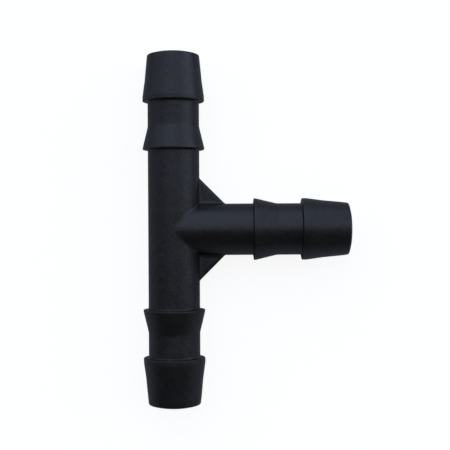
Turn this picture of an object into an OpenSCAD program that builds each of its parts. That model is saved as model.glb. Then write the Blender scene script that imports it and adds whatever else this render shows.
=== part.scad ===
// Barbed tee connector for soft irrigation hose, injection moulded as one piece.
// Three equal hose tails share a T-shaped flow passage, and two thin webs brace the inner corners.
// The run lies along Y and the branch along +X. Their axes cross at the origin, and +Z is up.

/* [Tube] */
// Outside diameter of the plain tube and of the necks between the barbs
tube_d = 10; // [9:0.1:10.6]
// Diameter of the flow passage
bore_d = 7; // [5:0.1:7.4]
// From the crossing of the axes to the foot of the inner barb
plain_l = 15.5; // [14:0.1:20]

/* [Barbs] */
// Crest diameter of both barbs, which the hose stretches over
barb_d = 12; // [11.4:0.1:14]
// How far the back of each barb leans, from its foot to its crest
back_lean = 0.1; // [0.1:0.1:1.2]
// Length of the inner barb, from its foot to the end of its taper
inner_barb_l = 4.6; // [4:0.1:8]
// Flat crest of the inner barb
inner_land = 0.4; // [0.1:0.1:1]
// Length of the neck between the two barbs
neck_l = 4.8; // [2:0.1:8]
// Length of the outer barb, from its foot to the tip of the hose tail
outer_barb_l = 9.6; // [8:0.1:13]
// Flat crest of the outer barb
outer_land = 0.9; // [0.2:0.1:1.5]

/* [Tip] */
// Outside diameter at the tip
tip_d = 10.2; // [9:0.1:10.8]
// How far the nose of the tip stands out, from its outside edge to its mouth
nose_l = 0.4; // [0.1:0.1:1]

/* [Corner webs] */
// How far each web reaches along the tubes from the corner between them
web_reach = 5; // [2:0.1:8]
// Thickness of the webs
web_t = 1.8; // [1:0.1:3]

/* [Hidden] */
$fn = 96;
tube_r = tube_d / 2;
barb_r = barb_d / 2;
tip_r = tip_d / 2;
bore_r = bore_d / 2;
inner_foot = plain_l;
inner_crest = inner_foot + back_lean;
inner_end = inner_foot + inner_barb_l;
outer_foot = inner_end + neck_l;
outer_crest = outer_foot + back_lean;
tail_l = outer_foot + outer_barb_l;
// The outer barb tapers in two stages: steeply from its crest to a shoulder, then gently to the tip.
shoulder_h = outer_foot + 0.44 * outer_barb_l;
shoulder_r = tip_r + 0.5 * (barb_r - tip_r);
// Both webs are the corners of one flat triangle that spans the three tubes.
web_corner = tube_d + web_reach;
// The passage is cut past the tips, so that it opens cleanly.
overcut = 1;

// One hose tail along +Z, from the crossing of the axes to its tip, before the passage is cut.
module hose_tail() {
    rotate_extrude()
        polygon([
            [0, 0],
            [tube_r, 0],
            [tube_r, inner_foot],
            [barb_r, inner_crest],
            [barb_r, inner_crest + inner_land],
            [tube_r, inner_end],
            [tube_r, outer_foot],
            [barb_r, outer_crest],
            [barb_r, outer_crest + outer_land],
            [shoulder_r, shoulder_h],
            [tip_r, tail_l - nose_l],
            [bore_r, tail_l],
            [0, tail_l]
        ]);
}

// The two corner webs, joined through the middle of the tee.
module webs() {
    linear_extrude(web_t, center = true)
        polygon([
            [0, -web_corner],
            [web_corner, 0],
            [0, web_corner]
        ]);
}

// The straight passage through the run, with the branch passage opening into its side.
module flow_passage() {
    rotate([90, 0, 0])
        cylinder(h = 2 * (tail_l + overcut), r = bore_r, center = true);
    rotate([0, 90, 0])
        cylinder(h = tail_l + overcut, r = bore_r);
}

// The whole connector: tails at both ends of the run and on the branch, webs between them.
module tee_body() {
    color([0.13, 0.14, 0.16])
        difference() {
            union() {
                for (turn = [-90, 0, 90])
                    rotate([0, 0, turn])
                        rotate([0, 90, 0])
                            hose_tail();
                webs();
            }
            flow_passage();
        }
}

tee_body();
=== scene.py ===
import math

import bmesh
import bpy
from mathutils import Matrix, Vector


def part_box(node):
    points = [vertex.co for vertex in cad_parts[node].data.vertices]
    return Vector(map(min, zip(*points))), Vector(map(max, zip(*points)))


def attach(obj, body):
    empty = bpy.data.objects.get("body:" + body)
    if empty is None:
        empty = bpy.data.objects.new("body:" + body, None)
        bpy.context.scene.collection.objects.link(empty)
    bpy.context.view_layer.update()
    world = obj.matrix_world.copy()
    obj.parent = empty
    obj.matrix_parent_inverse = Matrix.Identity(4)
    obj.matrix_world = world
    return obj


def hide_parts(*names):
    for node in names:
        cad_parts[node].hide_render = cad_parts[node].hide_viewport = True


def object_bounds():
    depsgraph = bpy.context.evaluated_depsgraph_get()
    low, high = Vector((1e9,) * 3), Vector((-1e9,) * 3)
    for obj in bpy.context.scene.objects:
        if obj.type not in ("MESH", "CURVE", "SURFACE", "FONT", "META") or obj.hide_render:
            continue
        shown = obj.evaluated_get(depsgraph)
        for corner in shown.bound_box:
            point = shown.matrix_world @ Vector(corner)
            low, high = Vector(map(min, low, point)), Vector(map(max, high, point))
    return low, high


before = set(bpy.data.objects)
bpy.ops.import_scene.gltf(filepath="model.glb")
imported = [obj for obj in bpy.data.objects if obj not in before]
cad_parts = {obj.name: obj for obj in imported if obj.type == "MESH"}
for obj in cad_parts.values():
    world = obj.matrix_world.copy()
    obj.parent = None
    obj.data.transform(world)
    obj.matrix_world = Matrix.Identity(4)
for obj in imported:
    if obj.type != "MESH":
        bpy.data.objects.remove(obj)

MM = 0.001
cad_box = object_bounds()
cad_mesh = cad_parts["tee_body"].data

# Roundings of the moulding
FOOT_ROUND = 0.15 * MM        # in the corner between a barb's back and the tube
EDGE_ROUND = 0.12 * MM        # on the crests of the barbs and the rims of the passage
TIP_ROUND = 0.4 * MM          # round the outside edges of the tips
BLEND_ROUND = 2.5 * MM        # on the bends between tapers, which are shallow
SHALLOW = math.radians(20)    # the least bend that counts as a corner rather than a blend
ROOM_SHARE = 0.45             # the most of a side that a rounding may take up
WEB_EDGE_ROUND = 0.25 * MM    # along the webs' slanting edges
WEB_ROOT_ROUND = 0.4 * MM     # where the webs meet the tubes
SEAM_HALF = 0.09 * MM         # half the width of the line that the two halves of the mould leave
SEAM_RAISE = 0.05 * MM        # how far that line stands out

# Patterns in the plastic. Each has the size of its lumps, its number of finer layers, the noise values
# between which it rises to 1, and what it rises from.
BLOTCH = (3.5 * MM, 3, 0.3, 0.7, 0)         # broad changes of colour and sheen
MOTTLE = (0.9 * MM, 3, 0.3, 0.7, 0)         # smaller changes of sheen
SPECKLE = (0.25 * MM, 2, 0.35, 0.7, 0)      # spark-eroded grain
WEAR = (1.2 * MM, 4, 0.35, 0.65, 0.25)      # how much the sharp crests are rubbed
SWELL = (5 * MM, 1)                         # slow waves, with only a size and layers
GRAIN_DEPTH = 0.012 * MM
SWELL_DEPTH = 0.06 * MM
SHARP = (0.515, 0.56)                       # the sharpness at which rubbing starts, and where it is full

# Colours and sheen of the plastic
DEEP_BLACK = (0.0075, 0.0073, 0.0075, 1)
SOFT_BLACK = (0.0100, 0.0098, 0.0098, 1)
WORN_BLACK = (0.020, 0.020, 0.021, 1)
BLOTCH_ROUGHNESS = (0.31, 0.35)
MOTTLE_ROUGHNESS = (0, 0.05)                # added to the blotches' roughness
MOTTLE_SHINE = (0.44, 0.50)
SPECKLE_SHINE = (0, 0.06)                   # added to the mottle's shine

# Brightness of the light tent over the direction from the tee. Each ramp has a part of the direction, the
# values between which it runs, and the brightness at both.
BRIGHT_SIDE = ("Y", -0.05, 0.19, 0.08, 1)
CEILING = ("Z", 0, 0.6, 0.75, 1)
LEFT_WALL = ("X", -1, 0, 0.58, 1)
RIGHT_WALL = ("X", 0.5, 0.95, 1, 1.8)
CORNER_X = ("X", 0.04, 0.28, 0, 1)          # how near a direction is to the corner of the +X and +Y walls
CORNER_Y = ("Y", 0.15, 0.5, 0, 1)
CORNER_SHADE = 0.66                         # brightness in that corner
HAZE = ("Z", 0, 0.45, 0.16, 0)              # extra light all round, low above the floor
TENT_COLOUR = (0.82, 0.94, 1.25, 1)         # cool white, on the bright side
SHADE_COLOUR = (0.98, 0.96, 0.92, 1)        # plain grey, on the shaded side

# Floor
FLOOR_HALF = 3.0
FLOOR_BOUNCE = 0.55           # its whiteness as the tee sees it
FLOOR_SHOWN = 0.25            # its whiteness as the camera sees it, on top of its own glow
FLOOR_GLOW = 0.9

# Camera, above the tee and slightly turned
EYE = (10.0 * MM, 0.84 * MM, 185 * MM)
EYE_TURN = math.radians(-0.33)
SENSOR = 36                   # mm
LENS = 75.6                   # mm
NEAR_CLIP = 10 * MM

# Fineness of the mesh, before it is subdivided once
LINES = 25                    # lines along each quarter of a tube, counted from the seam
ARC_STEP = math.radians(30)   # longest step round an arc
LONGEST_STEP = 2.0 * MM       # longest step along a straight
WELD = 0.002 * MM             # points nearer than this become one

# Where rings of points stand between the middle of the tee (1) and the end of the webs (0)
CROSSING_SHARES = (1, 0.93, 0.82, 0.65, 0.45, 0.25, 0.1, 0)
# Beyond the end of the webs, the distances over which the lines even out round the tube
RUN_OUT = (0.3 * MM, 0.9 * MM, 1.9 * MM)
# Where rings stand in the passage, from its last full ring (0) to the middle of the tee (1)
PASSAGE_SHARES = (0.35, 0.65, 0.88, 0.97, 1)


def mix(a, b, share):
    """The value that lies this share of the way from a to b."""
    return a + (b - a) * share


def smooth(share):
    """A share from 0 to 1 that starts and ends gently."""
    share = min(max(share, 0.0), 1.0)
    return share * share * (3 - 2 * share)


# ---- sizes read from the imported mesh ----

SAME_RING = 0.02 * MM         # points whose places differ by less are on one ring
STRAIGHT = math.radians(2)    # the least turn of the outline that counts as a corner


def turn_at(before, corner, after):
    """The angle by which an outline turns at a corner, positive to the left."""
    a, b = corner - before, after - corner
    return math.atan2(a.x * b.y - a.y * b.x, a.dot(b))


def tail_corners(beyond):
    """Corners of a tail's outline past this distance, as (distance from the crossing, radius).

    They are the branch's rings of points, from the inner barb to the tip's mouth. A ring on a straight side
    between two corners is left out.
    """
    places = sorted(
        (round(v.co.x, 6), round(math.hypot(v.co.y, v.co.z), 6))
        for v in cad_mesh.vertices if v.co.x > beyond
    )
    rings = []
    for place in places:
        if not rings or (Vector(place) - rings[-1]).length > SAME_RING:
            rings.append(Vector(place))
    kept = [rings[0]]
    for i in range(1, len(rings) - 1):
        if abs(turn_at(kept[-1], rings[i], rings[i + 1])) > STRAIGHT:
            kept.append(rings[i])
    return kept + [rings[-1]]


TAIL_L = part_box("tee_body")[1].x
PAST_WEBS = 0.4 * TAIL_L                # on the plain tube, between the webs and the inner barb
TAIL = tail_corners(PAST_WEBS)
TUBE_R = TAIL[0].y
BORE_R = TAIL[-1].y
TIP_EDGE = TAIL[-2]
SEAM_END = TIP_EDGE.x - TIP_ROUND       # the seam stops short of the tip's outside edge
INNER_RING = 1.7 * TUBE_R               # the passage's last full ring, short of the crossing
WEB_LIMIT = 2.1 * TUBE_R                # the webs lie nearer to both axes than this
# a corner of the upper web, at an end of its slanting edge
WEB_TIP = max(
    (v.co for v in cad_mesh.vertices if max(v.co.x, v.co.y) < WEB_LIMIT),
    key=lambda co: co.x + co.y,
)
WEB_CORNER = WEB_TIP.x + WEB_TIP.y      # x + y along the web's slanting edge
WEB_HALF = abs(WEB_TIP.z)               # half the web's thickness


# ---- outline of a tail ----

def corner_round(corner, turn):
    """The rounding radius for a corner that turns this far, positive for an inside corner."""
    if corner is TIP_EDGE:
        return TIP_ROUND
    if abs(turn) < SHALLOW:
        return BLEND_ROUND
    return FOOT_ROUND if turn > 0 else EDGE_ROUND


def rounded(corners):
    """Points along an outline, with an arc in place of each corner between the first and the last."""
    points = [corners[0]]
    for before, corner, after in zip(corners, corners[1:], corners[2:]):
        turn = turn_at(before, corner, after)
        half = math.tan(abs(turn) / 2)
        room = ROOM_SHARE * min((corner - before).length, (after - corner).length)
        radius = min(corner_round(corner, turn), room / half)
        heading = (corner - before).normalized()
        inward = Vector((-heading.y, heading.x)) * math.copysign(1, turn)
        start = corner - heading * radius * half
        steps = max(2, math.ceil(abs(turn) / ARC_STEP))
        for i in range(steps + 1):
            a = abs(turn) * i / steps
            points.append(start + (heading * math.sin(a) + inward * (1 - math.cos(a))) * radius)
    return points + [corners[-1]]


def filled(points):
    """The same outline with long straight steps divided."""
    out = [points[0]]
    for a, b in zip(points, points[1:]):
        n = max(1, math.ceil((b - a).length / LONGEST_STEP))
        out += [a.lerp(b, i / n) for i in range(1, n + 1)]
    return out


# ---- lines along a half tail ----
# A half tail is the side of a tail that faces one neighbour. Its points are (side, along, up): side is
# towards that neighbour and along is towards the tip. Line 0 is the mould seam at the side, and lines LINES
# and -LINES run along the top and the bottom.

def ring_angle(line):
    """The angle of a line round a full ring, from the side towards the top."""
    foot = math.asin(SEAM_HALF / TUBE_R)
    return foot * line if line < 1 else mix(foot, math.pi / 2, (line - 1) / (LINES - 1))


# An arc's middle point lies this share of the radius from each side of the corner.
ARC_MIDDLE = 1 - math.sqrt(0.5)
# The lines that shape the web, from line 1 on. Each has a height on the web, a share of the way across it
# from its root, and a distance onward from there. They lie at the slanting edge, then down the face to the
# root, and the last is on the tube beside the root.
WEB_LINES = (
    (SEAM_HALF, 1, 0),
    (WEB_HALF - WEB_EDGE_ROUND, 1, 0),
    (WEB_HALF - ARC_MIDDLE * WEB_EDGE_ROUND, 1, -ARC_MIDDLE * WEB_EDGE_ROUND),
    (WEB_HALF, 1, -WEB_EDGE_ROUND),
    (WEB_HALF, 0.5, 0),
    (WEB_HALF, 0, WEB_ROOT_ROUND),
    (WEB_HALF + ARC_MIDDLE * WEB_ROOT_ROUND, 0, ARC_MIDDLE * WEB_ROOT_ROUND),
    (WEB_HALF + WEB_ROOT_ROUND, 0, 0),
)
LAST_WEB_LINE = len(WEB_LINES)
# Where the web starts, the same lines are spread evenly over the tube up to START_TOP. By the SETTLED share
# of the way to the middle of the tee, they have the heights above.
START_TOP = 1.6 * WEB_HALF
SETTLED = 0.35
# Where a web is narrower than this, its roundings shrink with its width.
FULL_WIDTH = 3 * WEB_ROOT_ROUND
# The distance from the crossing at which the web's lines leave the tube
KNEE = WEB_CORNER - math.sqrt(TUBE_R ** 2 - START_TOP ** 2)


def web_height(line, share):
    """The height of one of the web's lines, at this share of the way from the web's end to the middle."""
    if line == 0:
        return 0.0
    start = mix(SEAM_HALF, START_TOP, (line - 1) / (LAST_WEB_LINE - 1))
    return mix(start, WEB_LINES[line - 1][0], smooth(share / SETTLED))


def across_web(line, width):
    """How far from the web's root one of its lines lies, where the web is this wide."""
    height, place, onward = WEB_LINES[max(line, 1) - 1]
    return place * width + onward * min(1, width / FULL_WIDTH)


def web_point(line, share):
    """A point on the web between the tail and its neighbour."""
    up = web_height(line, share)
    surface = math.sqrt(TUBE_R ** 2 - up ** 2)
    start = Vector((surface, WEB_CORNER - surface))
    root = start.lerp(Vector((surface, surface)), share)
    edge = start.lerp(Vector((WEB_CORNER / 2, WEB_CORNER / 2)), share)
    width = (edge - root).length
    place = root.lerp(edge, across_web(line, width) / width) if width > 0 else edge
    if line == 0:
        place += Vector((1, 1)).normalized() * SEAM_RAISE
    return Vector((place.x, place.y, up))


def tube_angle(line, share):
    """The angle of a line that stays on the tube past the web."""
    first = math.asin(web_height(LAST_WEB_LINE, share) / TUBE_R)
    return mix(first, math.pi / 2, (line - LAST_WEB_LINE) / (LINES - LAST_WEB_LINE))


def on_tube(angle, along, radius):
    """A point on a tube of this radius."""
    return Vector((radius * math.cos(angle), along, radius * math.sin(angle)))


def crossing_point(line, share, webbed):
    """A point of the junction: on the web, or on the tube up to the plane where it meets its neighbour."""
    if not webbed:
        radius = TUBE_R + (SEAM_RAISE if line == 0 else 0)
        return on_tube(ring_angle(line), mix(KNEE, 0, share), radius)
    if line < LAST_WEB_LINE:
        return web_point(line, share)
    angle = tube_angle(line, share)
    return on_tube(angle, mix(KNEE, TUBE_R * math.cos(angle), share), TUBE_R)


def run_out_point(line, distance, webbed):
    """A point on the plain tube just beyond the web, where the lines spread to their even places."""
    start = crossing_point(line, 0, webbed)
    angle = mix(math.asin(start.z / TUBE_R), ring_angle(line), smooth(distance / RUN_OUT[-1]))
    radius = TUBE_R + (SEAM_RAISE if line == 0 else 0)
    return on_tube(angle, start.y + distance, radius)


def tail_line(line, outline, webbed):
    """All the points of one line: from the middle of the tee to the tip, and back inside to the middle."""
    points = [crossing_point(line, share, webbed) for share in CROSSING_SHARES]
    points += [run_out_point(line, distance, webbed) for distance in RUN_OUT]
    angle = ring_angle(line)
    for along, radius in outline:
        raised = SEAM_RAISE if line == 0 and along < SEAM_END and radius > BORE_R else 0
        points.append(on_tube(angle, along, radius + raised))
    last = outline[-1].x
    middle = BORE_R * math.cos(angle) if webbed else 0
    points += [on_tube(angle, mix(last, middle, share), BORE_R) for share in PASSAGE_SHARES]
    return points


def half_tail(bm, outline, tail, side, webbed):
    """Adds one half tail that points along tail, facing side."""
    rows = []
    for line in range(-LINES, LINES + 1):
        row = []
        for point in tail_line(abs(line), outline, webbed):
            up = math.copysign(point.z, line) if line else 0.0
            row.append(bm.verts.new(side * point.x + tail * point.y + Vector((0, 0, up))))
        rows.append(row)
    for a, b in zip(rows, rows[1:]):
        for i in range(len(a) - 1):
            bm.faces.new((a[i], a[i + 1], b[i + 1], b[i]))


def tail_outline():
    """The outline from the plain tube beyond the webs, over the barbs and the tip, and into the passage."""
    plain = Vector((mix(KNEE + RUN_OUT[-1], TAIL[0].x, 0.5), TUBE_R))
    inside = Vector((INNER_RING, BORE_R))
    return filled(rounded([plain] + TAIL + [inside]))


def tee_mesh():
    """The whole tee as one closed mesh of quads."""
    outline = tail_outline()
    x, y = Vector((1, 0, 0)), Vector((0, 1, 0))
    bm = bmesh.new()
    for tail in (y, -y):
        half_tail(bm, outline, tail, x, True)
        half_tail(bm, outline, tail, -x, False)
    for side in (y, -y):
        half_tail(bm, outline, x, side, True)
    bmesh.ops.remove_doubles(bm, verts=bm.verts, dist=WELD)
    bmesh.ops.recalc_face_normals(bm, faces=bm.faces)
    for face in bm.faces:
        face.smooth = True
    mesh = bpy.data.meshes.new("tee_moulding")
    bm.to_mesh(mesh)
    bm.free()
    return mesh


# ---- shader nodes ----

def node(tree, kind, **inputs):
    """A new shader node with these inputs set, named as on the node with _ for each space."""
    made = tree.nodes.new(kind)
    for name, value in inputs.items():
        made.inputs[name.replace("_", " ")].default_value = value
    return made


def ramp(tree, value, low, high, to_low, to_high):
    """A value that eases from to_low to to_high while another goes from low to high."""
    made = node(tree, "ShaderNodeMapRange", From_Min=low, From_Max=high, To_Min=to_low, To_Max=to_high)
    made.interpolation_type = "SMOOTHSTEP"
    tree.links.new(value, made.inputs["Value"])
    return made.outputs["Result"]


def combine(tree, operation, result, *others):
    """Values multiplied or added together."""
    for other in others:
        made = tree.nodes.new("ShaderNodeMath")
        made.operation = operation
        tree.links.new(result, made.inputs[0])
        tree.links.new(other, made.inputs[1])
        result = made.outputs["Value"]
    return result


def noise(tree, place, size, layers):
    """Smooth noise from 0 to 1 whose lumps are about this size."""
    made = node(tree, "ShaderNodeTexNoise", Scale=1 / size, Detail=layers, Roughness=0.6)
    tree.links.new(place, made.inputs["Vector"])
    return made.outputs["Fac"]


def pattern(tree, place, size, layers, low, high, least):
    """Noise with more contrast: it rises from least to 1 between its values low and high."""
    return ramp(tree, noise(tree, place, size, layers), low, high, least, 1)


def tint(tree, share, low, high):
    """A colour that goes from low to high with a share from 0 to 1. Low may be the output of a node."""
    made = tree.nodes.new("ShaderNodeMix")
    made.data_type = "RGBA"
    if isinstance(low, tuple):
        made.inputs["A"].default_value = low
    else:
        tree.links.new(low, made.inputs["A"])
    made.inputs["B"].default_value = high
    tree.links.new(share, made.inputs["Factor"])
    return made.outputs["Result"]


def bump(tree, height, depth, under=None):
    """Normals for a relief this deep, on top of another relief if there is one."""
    made = node(tree, "ShaderNodeBump", Distance=depth)
    tree.links.new(height, made.inputs["Height"])
    if under:
        tree.links.new(under, made.inputs["Normal"])
    return made.outputs["Normal"]


def shown_as(tree, shader, shown):
    """A shader that the camera sees as another one."""
    path = tree.nodes.new("ShaderNodeLightPath")
    blend = tree.nodes.new("ShaderNodeMixShader")
    tree.links.new(path.outputs["Is Camera Ray"], blend.inputs["Fac"])
    tree.links.new(shader, blend.inputs[1])
    tree.links.new(shown, blend.inputs[2])
    return blend.outputs["Shader"]


# ---- material ----

def black_plastic():
    """Matt black moulded plastic: fine grain, faint mottling, and crests that are slightly rubbed."""
    material = bpy.data.materials.new("black_plastic")
    material.use_nodes = True
    tree = material.node_tree
    plastic = tree.nodes["Principled BSDF"]
    place = tree.nodes.new("ShaderNodeTexCoord").outputs["Object"]
    blotch = pattern(tree, place, *BLOTCH)
    mottle = pattern(tree, place, *MOTTLE)
    speckle = pattern(tree, place, *SPECKLE)
    sharpness = tree.nodes.new("ShaderNodeNewGeometry").outputs["Pointiness"]
    worn = combine(tree, "MULTIPLY", ramp(tree, sharpness, *SHARP, 0, 1), pattern(tree, place, *WEAR))

    body = tint(tree, blotch, DEEP_BLACK, SOFT_BLACK)
    tree.links.new(tint(tree, worn, body, WORN_BLACK), plastic.inputs["Base Color"])

    roughness = combine(
        tree, "ADD", ramp(tree, blotch, 0, 1, *BLOTCH_ROUGHNESS), ramp(tree, mottle, 0, 1, *MOTTLE_ROUGHNESS)
    )
    tree.links.new(roughness, plastic.inputs["Roughness"])
    shine = combine(
        tree, "ADD", ramp(tree, mottle, 0, 1, *MOTTLE_SHINE), ramp(tree, speckle, 0, 1, *SPECKLE_SHINE)
    )
    tree.links.new(shine, plastic.inputs["Specular IOR Level"])

    grain = bump(tree, speckle, GRAIN_DEPTH)
    ripple = bump(tree, mottle, GRAIN_DEPTH, grain)
    waves = bump(tree, noise(tree, place, *SWELL), SWELL_DEPTH, ripple)
    tree.links.new(waves, plastic.inputs["Normal"])
    return material


# ---- the piece ----

tee = bpy.data.objects.new("tee_moulding", tee_mesh())
bpy.context.scene.collection.objects.link(tee)
fine = tee.modifiers.new("fine", "SUBSURF")
fine.levels = 1
fine.render_levels = 1
tee.data.materials.append(black_plastic())
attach(tee, "root")
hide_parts("tee_body")


# ---- floor, light and camera ----

def grey(value):
    """A grey of this brightness."""
    return (value, value, value, 1)


def floor_material():
    """A floor that bounces light as a grey table does, and is seen as white with a faint shadow."""
    material = bpy.data.materials.new("pale_floor")
    material.use_nodes = True
    tree = material.node_tree
    table = node(tree, "ShaderNodeBsdfDiffuse", Color=grey(FLOOR_BOUNCE))
    shadowed = node(tree, "ShaderNodeBsdfDiffuse", Color=grey(FLOOR_SHOWN))
    glow = node(tree, "ShaderNodeEmission", Color=grey(1), Strength=FLOOR_GLOW)
    white = tree.nodes.new("ShaderNodeAddShader")
    tree.links.new(shadowed.outputs["BSDF"], white.inputs[0])
    tree.links.new(glow.outputs["Emission"], white.inputs[1])
    surface = shown_as(tree, table.outputs["BSDF"], white.outputs["Shader"])
    tree.links.new(surface, tree.nodes["Material Output"].inputs["Surface"])
    return material


def pale_floor():
    """A wide floor under the barbs."""
    z = cad_box[0][2]
    h = FLOOR_HALF
    mesh = bpy.data.meshes.new("floor")
    mesh.from_pydata([(-h, -h, z), (h, -h, z), (h, h, z), (-h, h, z)], [], [(0, 1, 2, 3)])
    mesh.materials.append(floor_material())
    floor = bpy.data.objects.new("floor", mesh)
    bpy.context.scene.collection.objects.link(floor)


def light_tent():
    """Soft light from a tent that is bright on its +Y side and shaded on the other. It is seen as white."""
    world = bpy.data.worlds.new("tent")
    bpy.context.scene.world = world
    world.use_nodes = True
    tree = world.node_tree
    direction = tree.nodes.new("ShaderNodeSeparateXYZ")
    tree.links.new(tree.nodes.new("ShaderNodeTexCoord").outputs["Generated"], direction.inputs["Vector"])

    def over(part, *limits):
        return ramp(tree, direction.outputs[part], *limits)

    bright_side = over(*BRIGHT_SIDE)
    cornered = combine(tree, "MULTIPLY", over(*CORNER_X), over(*CORNER_Y))
    corner = ramp(tree, cornered, 0, 1, 1, CORNER_SHADE)
    walls = combine(
        tree, "MULTIPLY", bright_side, over(*CEILING), over(*LEFT_WALL), over(*RIGHT_WALL), corner
    )
    tent = tree.nodes["Background"]
    tree.links.new(combine(tree, "ADD", walls, over(*HAZE)), tent.inputs["Strength"])
    tree.links.new(tint(tree, bright_side, SHADE_COLOUR, TENT_COLOUR), tent.inputs["Color"])
    white = node(tree, "ShaderNodeBackground", Color=grey(1), Strength=1.0)
    surface = shown_as(tree, tent.outputs["Background"], white.outputs["Background"])
    tree.links.new(surface, tree.nodes["World Output"].inputs["Surface"])


def overhead_camera():
    """A camera above the tee, looking straight down."""
    camera = bpy.data.cameras.new("camera")
    camera.sensor_width = SENSOR
    camera.lens = LENS
    camera.clip_start = NEAR_CLIP
    eye = bpy.data.objects.new("camera", camera)
    eye.location = EYE
    eye.rotation_euler = (0, 0, EYE_TURN)
    bpy.context.scene.collection.objects.link(eye)
    bpy.context.scene.camera = eye


pale_floor()
light_tent()
overhead_camera()
bpy.context.scene.view_settings.view_transform = "Standard"
